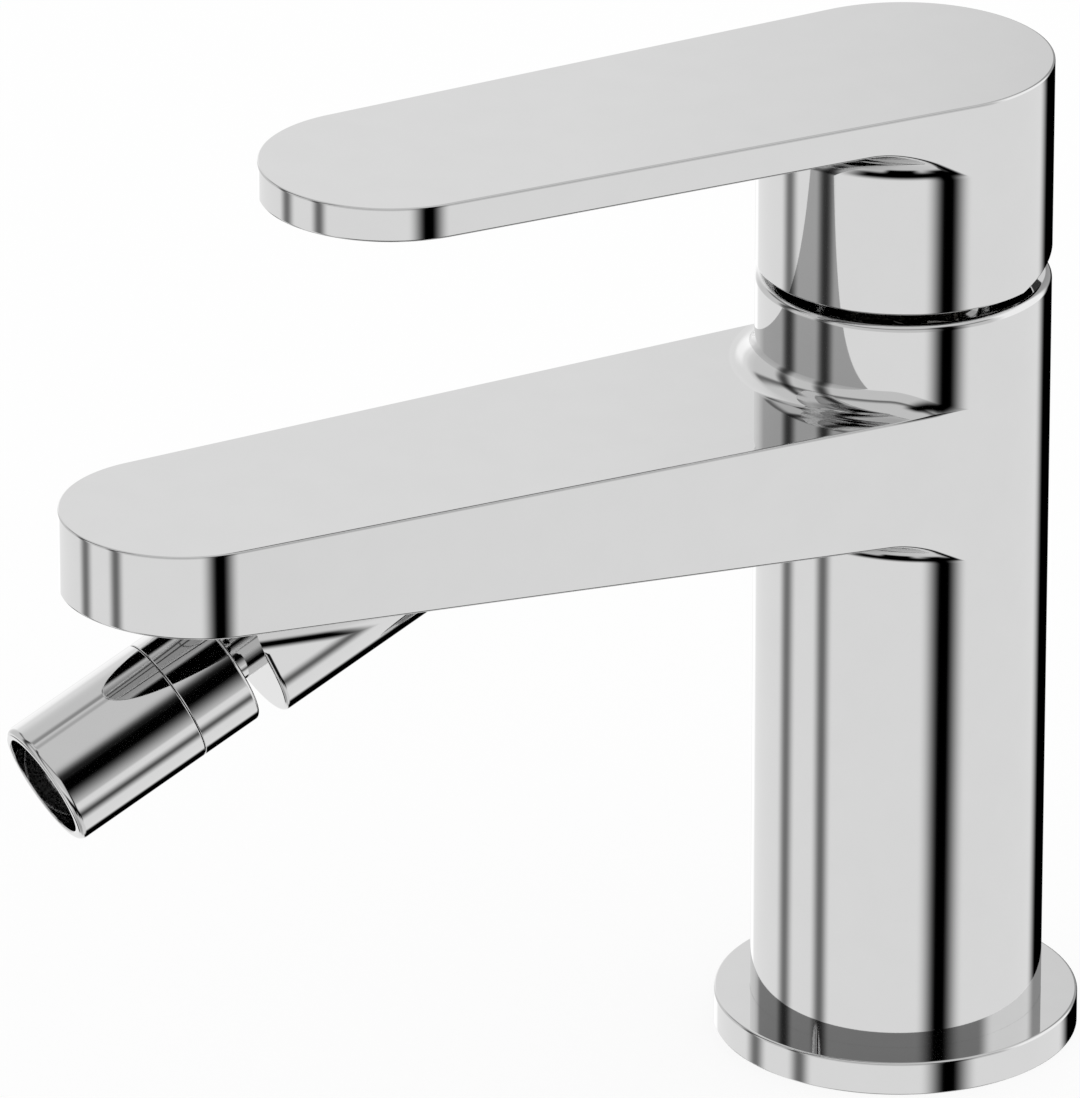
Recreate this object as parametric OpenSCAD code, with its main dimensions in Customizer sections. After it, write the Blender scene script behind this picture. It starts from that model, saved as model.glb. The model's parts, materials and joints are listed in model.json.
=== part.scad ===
// Single-lever bidet mixer with a ball-jointed nozzle, millimetres.
// Origin: centre of the base on the deck. +Z is up and the spout points along -Y.

/* [Column] */
// Diameter of the column and of the handle's hub
column_d = 42; // [40:0.5:48]
// Height of the column's top face above the deck
column_h = 116.8; // [112:0.2:130]
// Round on the column's top edge
column_edge = 1; // [0.4:0.1:1.5]

/* [Base] */
// Diameter of the base ring
base_d = 52.5; // [50.5:0.5:60]
// Height of the base ring
base_h = 5; // [4:0.2:8]
// Round on the base ring's top edge
base_edge = 0.8; // [0.3:0.1:1.2]
// Bore of the base ring, round the hoses and the stud
base_bore_d = 33; // [31:0.5:35]
// Depth of the column's seat in the base ring
base_seat = 2; // [1:0.1:2.2]
// Thickness of the base gasket
gasket_t = 1.6; // [1:0.1:1.7]
// Width of the base gasket
gasket_w = 3.6; // [2.5:0.1:4]
// Margin between the base gasket and the base ring's rim
gasket_margin = 2.2; // [1.5:0.1:3]

/* [Spout] */
// Drop from the column's top face to the spout's top face
spout_drop = 13.4; // [12:0.2:14]
// Distance from the column's axis to the spout's end
spout_reach = 131.2; // [120:0.2:150]
// Diameter of the spout's round end
spout_tip_d = 35.3; // [33:0.1:40]
// Thickness of the spout at its end
spout_tip_t = 11.8; // [11.5:0.1:13]
// Thickness of the spout at the column's axis
spout_root_t = 19.9; // [19:0.1:22]
// Fillet between the spout's top and the column
spout_top_fillet = 3; // [1.5:0.1:4]
// Fillet between the spout's underside and the column
spout_under_fillet = 3.6; // [2:0.1:4]
// Width of the cored water channel
channel_w = 20; // [14:0.5:24]
// Height of the cored water channel
channel_h = 6.4; // [5:0.2:6.6]
// Distance from the channel's end to the spout's end
channel_end = 27; // [24:0.5:32]

/* [Lever handle] */
// Height of the handle, from its skirt's rim to its top face
handle_h = 30.7; // [30:0.1:36]
// Distance from the column's axis to the lever's end
lever_reach = 99.8; // [85:0.2:115]
// Diameter of the lever's round end
lever_tip_d = 37.1; // [34:0.1:40]
// Thickness of the lever
lever_t = 5; // [4:0.1:6]
// Fillet between the lever's underside and the hub
lever_fillet = 5.7; // [4:0.1:6.5]
// Wall of the hub's skirt
skirt_wall = 2.7; // [2:0.1:3]
// Thickness of the hub's roof
roof_t = 8; // [6.5:0.1:9]
// Radius of the boss that holds the spindle
boss_r = 7; // [6:0.1:7.5]
// Gap between the column's top and the skirt's rim
seam_gap = 1.6; // [1.4:0.1:3]
// Largest lift of the lever, in degrees
lift_angle = 15; // [10:0.5:15]
// Room left under the skirt's rear rim at full lift
lift_room = 0.35; // [0.2:0.05:0.6]
// Height of the grub screw above the skirt's rim
screw_up = 12.6; // [11:0.1:13]
// Diameter of the grub screw
screw_d = 5; // [4:0.5:6]
// Length of the grub screw
screw_len = 5.4; // [4:0.2:7]
// Length of the plug in the screw's access hole
plug_len = 4; // [3:0.2:5]

/* [Cartridge] */
// Bore of the cartridge chamber
chamber_d = 25.6; // [25.4:0.1:26]
// Wall of the cartridge housing
housing_wall = 1.7; // [1.4:0.1:1.8]
// Depth of the housing's top below the column's top face
nut_depth = 4.8; // [4:0.1:6]
// Height of the housing's inward lip
lip_h = 3.2; // [2.5:0.1:4]
// Width of the housing's inward lip
lip_w = 1.1; // [0.8:0.1:1.2]
// Height of the rotor's flange
rotor_flange_h = 4.4; // [3.5:0.1:5]
// Height of the rotor's neck above the housing
rotor_up = 4; // [3:0.1:5]
// Height of the disc carrier
carrier_h = 3.6; // [3.2:0.1:4.5]
// Width of the disc carrier between the rotor's rails
carrier_w = 13; // [12:0.1:13.4]
// Thickness of the moving ceramic disc
moving_disc_t = 2.8; // [2.4:0.1:3.5]
// Diameter of the moving ceramic disc
moving_disc_d = 14.8; // [14:0.1:15.5]
// Thickness of the fixed ceramic disc
fixed_disc_t = 3; // [2.5:0.1:4]
// Height of the cartridge base
cartridge_base_h = 6; // [5.5:0.1:7]
// Height that the port seals stand proud of the cartridge base
seal_proud = 0.3; // [0.2:0.05:0.5]
// Diameter of the water ports
port_d = 3.8; // [3:0.1:4]
// Distance of each inlet port from the middle, sideways
port_x = 4.6; // [4.4:0.1:5]
// Distance of the inlet ports in front of the column's axis
port_y = 2.6; // [2.4:0.1:3]
// Distance of the outlet port behind the column's axis
outlet_y = 4.2; // [4:0.1:5]
// Wall of the rubber rings round the ports
seal_wall = 1.2; // [0.8:0.1:1.3]
// Depth of the port seals' seats
seal_seat = 1.5; // [1:0.1:1.8]
// Depth of the disc seals' seats
disc_seal_seat = 0.8; // [0.6:0.1:1.2]
// Thickness of the housing's O-ring
o_ring_d = 1.2; // [1:0.05:1.3]
// Depth of the O-ring's groove
o_ring_groove = 1; // [0.9:0.05:1.1]
// Height of the O-ring above the housing's foot
o_ring_up = 6.7; // [5.5:0.1:8]
// Distance of the spindle behind the column's axis
spindle_y = 4.5; // [4:0.1:4.8]
// Width of the spindle
spindle_w = 7; // [6:0.1:7.2]
// Thickness of the spindle
spindle_t = 5; // [4.5:0.1:5.2]
// Height of the hinge pin above the housing's top
pin_up = 1; // [0.5:0.1:1.5]
// Diameter of the hinge pin
pin_d = 3; // [2.5:0.1:3.2]
// Diameter of the round foot that drives the disc carrier
spindle_foot_d = 4.4; // [4:0.1:4.6]
// Rest offset of the moving disc behind the column's axis
disc_offset = 1.4; // [1.2:0.1:1.6]
// Width of the retaining nut's thread round the chamber
nut_wall = 2.2; // [1.8:0.1:2.6]
// Height of the nut's hexagon above the column
nut_hex_h = 2.6; // [2:0.1:3]
// Length of the nut's skirt round the housing
nut_skirt = 4.1; // [3:0.1:5]
// Depth of the ring groove that gathers the mixed water
ring_groove = 1.8; // [1:0.1:2.5]

/* [Connections] */
// Tapping diameter of the hose inlets
inlet_d = 9; // [8:0.1:9.4]
// Depth of the hose inlets
inlet_depth = 14; // [10:0.5:18]
// Distance of each hose inlet from the middle, sideways
inlet_x = 6.5; // [6:0.1:7]
// Diameter of the waterways in the column
waterway_d = 8; // [7.8:0.1:8.8]
// Length of the narrow ports under the chamber's floor
port_run = 4; // [3:0.5:8]
// Tapping diameter of the fixing stud's hole
stud_d = 6.8; // [5:0.1:8.5]
// Depth of the fixing stud's hole
stud_depth = 22; // [15:0.5:30]
// Distance of the fixing stud behind the column's axis
stud_y = 11; // [10:0.1:12]

/* [Nozzle] */
// Slope of the nozzle below the horizontal, in degrees
nozzle_tilt = 25; // [22:0.5:28]
// Distance of the ball's centre from the spout's end
ball_setback = 19.7; // [18:0.1:22]
// Drop of the ball's centre below the spout's top face
ball_drop = 26.3; // [25.5:0.1:28]
// Outer diameter of the nozzle
nozzle_d = 18.4; // [18:0.1:19]
// Length of the nozzle
nozzle_len = 30.7; // [28:0.1:35]
// Length of the collar behind the nozzle's groove
collar_len = 9.3; // [8.8:0.1:9.8]
// Width of the groove between collar and sleeve
groove_w = 0.3; // [0.2:0.05:0.5]
// Chamfer on each side of the groove
groove_edge = 0.25; // [0.1:0.05:0.4]
// Distance of the ball's centre from the collar's rear face
ball_in = 3.7; // [3.5:0.05:3.9]
// Round on the collar's rear edge
collar_edge = 0.6; // [0.3:0.1:0.8]
// Diameter of the ball
ball_d = 10.4; // [10:0.1:10.6]
// Wall of the liner round the ball
liner_wall = 0.95; // [0.8:0.05:1]
// Diameter of the neck
neck_d = 7.6; // [7:0.1:7.7]
// Visible length of the neck at rest
neck_gap = 3.5; // [3.2:0.1:4]
// Width of the nozzle boss under the spout
stub_d = 21.2; // [20:0.1:23]
// Diameter of the ball stem's thread
stem_d = 6.6; // [6.2:0.1:6.8]
// Length of the ball stem's thread
stem_len = 10.2; // [8:0.1:12]
// Thickness of the ball stem's washer
washer_t = 1.2; // [0.8:0.1:1.5]
// Bore of the ball stem
stem_bore_d = 4.2; // [3.8:0.1:4.4]
// Bore of the nozzle boss
boss_bore_d = 4.6; // [4.4:0.1:4.8]
// Largest turn of the nozzle each way, in degrees
nozzle_swivel = 14; // [10:0.5:14]
// Bore of the collar in front of the ball
collar_bore_d = 13.8; // [13.6:0.1:14]
// Diameter of the collar's thread in the sleeve
spigot_d = 15.2; // [15:0.1:15.4]
// Length of the collar's thread in the sleeve
spigot_len = 5.9; // [5.5:0.1:6.5]
// Thickness of the front seal
front_seal_t = 2; // [1.6:0.1:2.1]
// Length of the gland ring
gland_len = 3.6; // [3:0.1:5]
// Bore of the gland ring
gland_bore_d = 6.8; // [6.5:0.1:7.4]
// Bore of the nozzle's mouth
mouth_d = 15.2; // [14.8:0.1:15.4]
// Depth of the mouth in front of the aerator's ledge
mouth_depth = 5.5; // [4.5:0.1:6]
// Bore of the ledge that holds the aerator
ledge_bore_d = 13.4; // [13:0.1:14]
// Thickness of the ledge that holds the aerator
ledge_t = 1; // [0.8:0.1:1.5]
// Round on the mouth's rim
rim_edge = 0.9; // [0.5:0.05:1]
// Thickness of the aerator's washer
aerator_seal_t = 1.5; // [1:0.1:2]
// Wall of the aerator's cage
cage_wall = 1.3; // [1:0.1:1.6]
// Thickness of the cage's grid
cage_grid_t = 1.5; // [1:0.1:2]
// Thickness of each mesh disc
mesh_t = 0.3; // [0.2:0.05:0.4]
// Thickness of the flow straightener
straightener_t = 2; // [1.5:0.1:2.5]

/* [Hidden] */
$fn = 96;

// Named clearances and room
run_fit = 0.1;
slip_fit = 0.05;
ball_fit = 0.05;
thread_fit = 0.1;
rail_fit = 0.15;
chamber_fit = 0.3;
disc_room = 0.6;
carrier_room = 1;
boss_room = 2;
// Angles left free round the neck at full swivel
liner_room = 1;
lip_room = 2.5;
// Length by which a cut runs past the face that it opens
through = 1;
// Depth by which each corner fillet cuts into the column, and depth of its root
fillet_bite = 0.2;
fillet_root = 2;

// Column and base
column_r = column_d / 2;
base_r = base_d / 2;
column_foot = base_h - base_seat;
gasket_out = base_r - gasket_margin;
gasket_in = gasket_out - gasket_w;

// Spout
spout_top = column_h - spout_drop;
spout_tip_r = spout_tip_d / 2;
spout_len = spout_reach - spout_tip_r;
spout_under = spout_top - spout_root_t;
spout_slope = atan((spout_root_t - spout_tip_t) / spout_reach);
channel_slope = spout_slope / 2;
channel_start = chamber_d / 2 - through;
channel_z0 = spout_top - spout_root_t / 2;
channel_len = spout_reach - channel_end - channel_start;

// Handle
handle_foot = column_h + seam_gap;
handle_top = handle_foot + handle_h;
lever_under = handle_top - lever_t;
lever_tip_r = lever_tip_d / 2;
lever_len = lever_reach - lever_tip_r;
skirt_r = column_r - skirt_wall;
roof_z = handle_top - roof_t;
screw_z = handle_foot + screw_up;
screw_boss_wall = 2;
key_d = 2.8;
key_depth = 2.4;

// Cartridge stack, from the housing's top down to the chamber's floor
housing_top = column_h - nut_depth;
rotor_flange_top = housing_top - lip_h - run_fit;
rotor_foot = rotor_flange_top - rotor_flange_h;
carrier_top = rotor_foot - run_fit;
carrier_floor = 0.6;
carrier_foot = carrier_top - carrier_h;
moving_disc_foot = carrier_foot - moving_disc_t;
fixed_disc_foot = moving_disc_foot - fixed_disc_t;
base_top = fixed_disc_foot - seal_proud;
cartridge_foot = base_top - cartridge_base_h;
chamber_floor = cartridge_foot - seal_proud;
cartridge_r = chamber_d / 2 - chamber_fit;
housing_bore_r = cartridge_r - housing_wall;
fixed_disc_r = housing_bore_r - disc_room;
carrier_r = housing_bore_r - disc_offset - carrier_room;
lip_bore_r = housing_bore_r - lip_w;
rotor_neck_r = lip_bore_r - run_fit;
rotor_top = housing_top + rotor_up;
nut_foot = housing_top - nut_skirt;
nut_r = chamber_d / 2 + nut_wall;
nut_bore_r = rotor_neck_r + 6 * run_fit;
nut_hex_r = nut_r - 4 * thread_fit;
pin_z = housing_top + pin_up;
spindle_foot_z = carrier_foot + carrier_floor + 2 * run_fit + spindle_foot_d / 2;
spindle_block_foot = (pin_z + spindle_foot_z) / 2;
shank_step = 0.4;
shank_d = spindle_foot_d - 2 * shank_step;
slot_front = 2.2;
slot_rear = 1.2;
rail_l = 12;
groove_floor = 1.2;
groove_over = 2.6;
groove_z0 = cartridge_foot + groove_floor;
groove_z1 = base_top + groove_over;
o_ring_z = base_top + o_ring_up;
o_ring_side = 0.2;
port_r = port_d / 2;
seal_r = port_r + seal_wall;
inlet_ports = [[-port_x, -port_y], [port_x, -port_y]];
all_ports = concat(inlet_ports, [[0, outlet_y]]);
outlet_bore_z = cartridge_foot + cartridge_base_h / 2;

// Pegs between disc and carrier, and the pocket that joins the ports
peg_x = 4.6;
peg_d = 1.6;
peg_h = 0.9;
mixing_w = 11;
mixing_l = 4.4;
mixing_depth = 1.4;
mixing_lead = 1.2;

// Boss inside the handle, clear of the nut at full lift
boss_foot = column_h + nut_hex_h + lift_room + boss_r * sin(lift_angle) + boss_room;
spindle_below_roof = 2.5;
spindle_top = roof_z - spindle_below_roof;

// Nozzle, measured along its axis from the ball's centre
ball_y = spout_reach - ball_setback;
ball_z = spout_top - ball_drop;
ball_r = ball_d / 2;
neck_r = neck_d / 2;
liner_in = ball_r + ball_fit;
liner_out = liner_in + liner_wall;
seat_r = liner_out + ball_fit;
nozzle_r = nozzle_d / 2;
collar_rear = -ball_in;
collar_front = collar_rear + collar_len;
nozzle_front = collar_rear + nozzle_len;
stub_face = collar_rear - neck_gap;
stem_end = stub_face - stem_len;
washer_seat = stem_end - washer_t;
boss_bore_rear = (ball_z - channel_z0) / sin(nozzle_tilt);
spigot_end = collar_front + spigot_len;
liner_turn = asin(neck_r / ball_r) + nozzle_swivel + liner_room;
liner_rear = -liner_in * cos(liner_turn);
liner_front = 0.6;
lip_turn = asin(neck_r / seat_r) + nozzle_swivel * sqrt(2) + lip_room;
lip_r = seat_r * sin(lip_turn);
lip_z = -seat_r * cos(lip_turn);
lip_flare = 1;
front_seal_foot = liner_front + liner_out * sin(nozzle_swivel) + 2 * run_fit;
front_seal_bore = sqrt(pow(ball_r, 2) - pow(front_seal_foot, 2)) + ball_fit * 2;
gland_foot = front_seal_foot + front_seal_t;
ledge_front = nozzle_front - mouth_depth;
ledge_rear = ledge_front - ledge_t;
cage_rear = spigot_end + slip_fit + aerator_seal_t;
cage_r = spigot_d / 2 - run_fit;
cage_bore_r = cage_r - cage_wall;
grid_rear = ledge_rear - cage_grid_t;
straightener_rear = grid_rear - straightener_t;
mesh_gap = 0.6;
screen_r = cage_bore_r - run_fit;
// Aerator holes: diameter, pitch and number of rings
cage_holes = [1.6, 2.3, 2];
mesh_holes = [1, 1.4, 3];
straightener_holes = [1.2, 1.9, 2];

// Points along an arc in the profile plane
function arc(x, z, r, from, to, steps = 8) =
    [for (i = [0 : steps]) let (a = from + (to - from) * i / steps) [x + r * cos(a), z + r * sin(a)]];

// Ring with a square section
module ring(outer, inner, z0, z1) {
    rotate_extrude() translate([inner, z0]) square([outer - inner, z1 - z0]);
}

// Straight-sided part of a tongue, between a hub circle and a tip circle
module taper_plan(hub_r, tip_r, len) {
    lean = asin((hub_r - tip_r) / len);
    polygon([[-hub_r * cos(lean), -hub_r * sin(lean)], [-tip_r * cos(lean), -len - tip_r * sin(lean)],
        [tip_r * cos(lean), -len - tip_r * sin(lean)], [hub_r * cos(lean), -hub_r * sin(lean)]]);
}

// Tongue from the column's axis to a round end
module tongue(tip_r, len, z0, z1) {
    translate([0, 0, z0]) linear_extrude(z1 - z0) {
        taper_plan(column_r, tip_r, len);
        translate([0, -len]) circle(tip_r);
    }
}

// Ring that fills the corner between the column and a face above or below it
module corner_fillet(r, side) {
    inner = column_r - fillet_root;
    centre = column_r + r - fillet_bite;
    rotate_extrude() polygon(concat([[inner, 0], [centre, 0]],
        arc(centre, side * r, r, -side * 90, -side * 180, 10), [[inner, side * r]]));
}

// Slot with round ends
module slot(w, h) {
    square([w - h, h], center = true);
    for (side = [-1, 1]) translate([side * (w - h) / 2, 0]) circle(h / 2);
}

// Nozzle axis: +Z along the jet, origin at the ball's centre
module at_nozzle() {
    translate([0, -ball_y, ball_z]) rotate([90 + nozzle_tilt, 0, 0]) children();
}

// Body

module column_shape() {
    rotate_extrude() polygon(concat([[0, column_foot], [column_r, column_foot]],
        arc(column_r - column_edge, column_h - column_edge, column_edge, 0, 90), [[0, column_h]]));
}

module below_spout() {
    translate([0, 0, spout_under]) rotate([-spout_slope, 0, 0])
        translate([-column_d, -2 * spout_reach, -2 * column_h])
        cube([2 * column_d, 3 * spout_reach, 2 * column_h]);
}

module spout_shape() {
    difference() {
        tongue(spout_tip_r, spout_len, spout_under - column_edge, spout_top);
        below_spout();
    }
    intersection() {
        translate([0, 0, spout_top]) corner_fillet(spout_top_fillet, 1);
        tongue(spout_tip_r, spout_len, spout_top - through, spout_top + 2 * spout_top_fillet);
    }
    intersection() {
        translate([0, 0, spout_under]) rotate([-spout_slope, 0, 0]) corner_fillet(spout_under_fillet, -1);
        tongue(spout_tip_r, spout_len, spout_under - 2 * spout_under_fillet, spout_top);
    }
}

// Boss under the spout, round below and with straight sides that rise into the spout
module nozzle_boss() {
    intersection() {
        at_nozzle() translate([0, 0, -spout_reach / 2]) linear_extrude(spout_reach / 2 + stub_face) {
            circle(d = stub_d);
            translate([-stub_d / 2, 0]) square([stub_d, stub_d]);
        }
        translate([-column_d, -spout_reach, 0]) cube([2 * column_d, spout_reach, channel_z0]);
    }
}

module cartridge_chamber() {
    translate([0, 0, chamber_floor]) cylinder(h = column_h, d = chamber_d);
    translate([0, 0, nut_foot - 4 * run_fit]) cylinder(h = column_h, r = nut_r);
    translate([0, 0, groove_z0]) cylinder(h = groove_z1 - groove_z0, d = chamber_d + 2 * ring_groove);
}

module waterways() {
    for (side = [-1, 1]) {
        translate([side * inlet_x, -port_y, column_foot - through])
            cylinder(h = inlet_depth + through, d = inlet_d);
        translate([side * inlet_x, -port_y, column_foot])
            cylinder(h = chamber_floor - port_run - column_foot, d = waterway_d);
        translate([side * port_x, -port_y, chamber_floor - port_run - through])
            cylinder(h = port_run + 2 * through, d = port_d);
    }
    translate([0, stud_y, column_foot - through]) cylinder(h = stud_depth + through, d = stud_d);
}

module spout_channel() {
    translate([0, -channel_start, channel_z0]) rotate([90 - channel_slope, 0, 0])
        linear_extrude(channel_len) slot(channel_w, channel_h);
    at_nozzle() {
        translate([0, 0, boss_bore_rear])
            cylinder(h = stub_face - boss_bore_rear + through, d = boss_bore_d);
        translate([0, 0, washer_seat]) cylinder(h = stub_face - washer_seat + through, d = stem_d);
    }
}

module body_casting() {
    color("gainsboro") difference() {
        union() {
            column_shape();
            spout_shape();
            nozzle_boss();
        }
        cartridge_chamber();
        waterways();
        spout_channel();
    }
}

module base_ring() {
    color("gainsboro") rotate_extrude() polygon(concat(
        [[base_bore_d / 2, 0], [gasket_in, 0], [gasket_in, gasket_t], [gasket_out, gasket_t],
         [gasket_out, 0], [base_r, 0]],
        arc(base_r - base_edge, base_h - base_edge, base_edge, 0, 90),
        [[column_r + slip_fit, base_h], [column_r + slip_fit, column_foot],
         [base_bore_d / 2, column_foot]]));
}

module base_gasket() {
    color("dimgray") ring(gasket_out - slip_fit, gasket_in + slip_fit, 0, gasket_t);
}

// Cartridge

module cartridge_base() {
    color("whitesmoke") difference() {
        translate([0, 0, cartridge_foot]) cylinder(h = cartridge_base_h, r = cartridge_r);
        for (p = inlet_ports) {
            translate([p.x, p.y, cartridge_foot - through])
                cylinder(h = cartridge_base_h + 2 * through, d = port_d);
            translate([p.x, p.y, cartridge_foot - through])
                cylinder(h = seal_seat + through, r = seal_r + slip_fit);
        }
        translate([0, outlet_y, outlet_bore_z]) cylinder(h = cartridge_base_h, d = port_d);
        translate([0, outlet_y, outlet_bore_z]) rotate([-90, 0, 0]) cylinder(h = chamber_d, d = port_d);
        for (p = all_ports) translate([p.x, p.y, base_top - disc_seal_seat])
            cylinder(h = disc_seal_seat + through, r = seal_r + slip_fit);
    }
}

module port_seals() {
    color("black") for (p = inlet_ports) translate([p.x, p.y, 0])
        ring(seal_r, port_r + slip_fit, chamber_floor, cartridge_foot + seal_seat);
}

module disc_seals() {
    color("black") for (p = all_ports) translate([p.x, p.y, 0])
        ring(seal_r, port_r + slip_fit, base_top - disc_seal_seat, fixed_disc_foot);
}

module fixed_disc() {
    color("ivory") difference() {
        translate([0, 0, fixed_disc_foot]) cylinder(h = fixed_disc_t, r = fixed_disc_r);
        for (p = all_ports) translate([p.x, p.y, fixed_disc_foot - through])
            cylinder(h = fixed_disc_t + 2 * through, d = port_d);
    }
}

module pegs(d, z0, z1) {
    for (side = [-1, 1]) translate([side * peg_x, disc_offset, z0]) cylinder(h = z1 - z0, d = d);
}

module moving_disc() {
    color("ivory") difference() {
        translate([0, disc_offset, moving_disc_foot]) cylinder(h = moving_disc_t, d = moving_disc_d);
        translate([-mixing_w / 2, outlet_y - port_r - mixing_lead, moving_disc_foot - through])
            cube([mixing_w, mixing_l, mixing_depth + through]);
        pegs(peg_d + 2 * slip_fit, carrier_foot - peg_h - slip_fit, carrier_foot + through);
    }
}

module disc_carrier() {
    pocket_l = spindle_foot_d + 2 * run_fit;
    color("dimgray") {
        difference() {
            intersection() {
                translate([0, disc_offset, carrier_foot]) cylinder(h = carrier_h, r = carrier_r);
                translate([-carrier_w / 2, -cartridge_r, carrier_foot])
                    cube([carrier_w, 2 * cartridge_r, carrier_h]);
            }
            translate([-spindle_w / 2, spindle_y - pocket_l / 2, carrier_foot + carrier_floor])
                cube([spindle_w, pocket_l, carrier_h]);
        }
        pegs(peg_d, carrier_foot - peg_h, carrier_foot + carrier_floor);
    }
}

module cartridge_housing() {
    groove_r = cartridge_r - o_ring_groove;
    groove_h = o_ring_d / 2 + o_ring_side;
    lip_foot = housing_top - lip_h;
    color("whitesmoke") rotate_extrude() polygon([[housing_bore_r, base_top], [cartridge_r, base_top],
        [cartridge_r, o_ring_z - groove_h], [groove_r, o_ring_z - groove_h],
        [groove_r, o_ring_z + groove_h], [cartridge_r, o_ring_z + groove_h],
        [cartridge_r, housing_top], [lip_bore_r, housing_top], [lip_bore_r, lip_foot],
        [housing_bore_r, lip_foot]]);
}

module housing_o_ring() {
    color("black") rotate_extrude()
        translate([chamber_d / 2 - o_ring_d / 2 - slip_fit, o_ring_z]) circle(d = o_ring_d, $fn = 32);
}

module retaining_nut() {
    color("darkgray") difference() {
        union() {
            translate([0, 0, nut_foot]) cylinder(h = column_h - nut_foot, r = nut_r - thread_fit);
            translate([0, 0, column_h]) cylinder(h = nut_hex_h, r = nut_hex_r, $fn = 6);
        }
        translate([0, 0, nut_foot - through]) cylinder(h = column_h, r = nut_bore_r);
        translate([0, 0, nut_foot - through])
            cylinder(h = housing_top - nut_foot + through, r = cartridge_r + 2 * run_fit);
    }
}

module pin_bore(d) {
    translate([0, spindle_y, pin_z]) rotate([0, 90, 0]) cylinder(h = chamber_d, d = d, center = true);
}

module rotor() {
    rail_out = housing_bore_r - 8 * run_fit;
    color("lightgray") difference() {
        union() {
            translate([0, 0, rotor_foot]) cylinder(h = rotor_flange_h, r = housing_bore_r - run_fit);
            translate([0, 0, rotor_foot]) cylinder(h = rotor_top - rotor_foot, r = rotor_neck_r);
            intersection() {
                translate([0, 0, carrier_foot + 3 * run_fit])
                    cylinder(h = carrier_h + through, r = rail_out);
                for (side = [-1, 1])
                    translate([side * (carrier_w / 2 + rail_fit + rail_out / 2), 0, carrier_top])
                    cube([rail_out, rail_l, 3 * carrier_h], center = true);
            }
        }
        translate([-spindle_w / 2 - rail_fit, spindle_y - spindle_t / 2 - slot_front, carrier_foot])
            cube([spindle_w + 2 * rail_fit, spindle_t + slot_front + slot_rear, column_h]);
        pin_bore(pin_d);
    }
}

// Spindle and handle

module spindle() {
    color("silver") difference() {
        union() {
            translate([-spindle_w / 2, spindle_y - spindle_t / 2, spindle_block_foot])
                cube([spindle_w, spindle_t, spindle_top - spindle_block_foot]);
            translate([0, spindle_y, spindle_foot_z]) {
                cylinder(h = spindle_block_foot - spindle_foot_z + through, d = shank_d);
                rotate([0, 90, 0])
                    cylinder(h = spindle_w - 2 * rail_fit, d = spindle_foot_d, center = true);
            }
        }
        pin_bore(pin_d + 2 * slip_fit);
    }
}

module spindle_pin() {
    half = sqrt(pow(rotor_neck_r, 2) - pow(spindle_y + pin_d / 2, 2)) - 2 * run_fit;
    color("silver") translate([0, spindle_y, pin_z]) rotate([0, 90, 0])
        cylinder(h = 2 * half, d = pin_d, center = true);
}

// Space that the column's top needs when the handle is lifted, in the handle's rest position
module lift_relief() {
    translate([0, spindle_y, pin_z]) rotate([lift_angle, 0, 0])
        translate([-column_d, -column_d / 2, -column_d + column_h + lift_room - pin_z])
        cube([2 * column_d, 2 * column_d, column_d]);
}

module handle_shell() {
    difference() {
        union() {
            tongue(lever_tip_r, lever_len, lever_under, handle_top);
            translate([0, 0, handle_foot]) cylinder(h = handle_h, r = column_r);
            intersection() {
                translate([0, 0, lever_under]) corner_fillet(lever_fillet, -1);
                tongue(lever_tip_r, lever_len, handle_foot, handle_top);
            }
        }
        translate([0, 0, handle_foot - through]) cylinder(h = roof_z - handle_foot + through, r = skirt_r);
        lift_relief();
    }
}

module handle() {
    color("gainsboro") difference() {
        union() {
            handle_shell();
            translate([0, spindle_y, boss_foot]) cylinder(h = roof_z + through - boss_foot, r = boss_r);
            translate([0, spindle_y, screw_z]) rotate([-90, 0, 0])
                cylinder(h = skirt_r + skirt_wall / 2 - spindle_y, d = screw_d + 2 * screw_boss_wall);
        }
        translate([-spindle_w / 2 - slip_fit, spindle_y - spindle_t / 2 - slip_fit, boss_foot - through])
            cube([spindle_w + 2 * slip_fit, spindle_t + 2 * slip_fit,
                spindle_top + slip_fit - boss_foot + through]);
        translate([0, spindle_y, screw_z]) rotate([-90, 0, 0]) cylinder(h = column_d, d = screw_d);
    }
}

module grub_screw() {
    color("silver") translate([0, spindle_y + spindle_t / 2 + slip_fit, screw_z]) rotate([-90, 0, 0])
        difference() {
            cylinder(h = screw_len, d = screw_d - 2 * thread_fit);
            translate([0, 0, screw_len - key_depth]) cylinder(h = key_depth + through, d = key_d, $fn = 6);
        }
}

module screw_plug() {
    color("gainsboro") intersection() {
        translate([0, column_r - plug_len, screw_z]) rotate([-90, 0, 0])
            cylinder(h = plug_len + through, d = screw_d - 2 * slip_fit);
        translate([0, 0, handle_foot]) cylinder(h = handle_h, r = column_r);
    }
}

// Nozzle

module ball_stem() {
    color("gainsboro") at_nozzle() difference() {
        union() {
            sphere(r = ball_r);
            translate([0, 0, stub_face]) cylinder(h = -stub_face, r = neck_r);
            translate([0, 0, stem_end]) cylinder(h = stem_len + through, r = stem_d / 2 - thread_fit);
        }
        translate([0, 0, stem_end - through])
            cylinder(h = ball_r + 2 * through - stem_end, d = stem_bore_d);
    }
}

module stem_washer() {
    color("black") at_nozzle()
        ring(stem_d / 2 - thread_fit, boss_bore_d / 2 + slip_fit, washer_seat, stem_end);
}

module ball_liner() {
    color("white") at_nozzle() difference() {
        intersection() {
            sphere(r = liner_out);
            translate([0, 0, liner_rear]) cylinder(h = liner_front - liner_rear, r = 2 * liner_out);
        }
        sphere(r = liner_in);
    }
}

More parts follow.
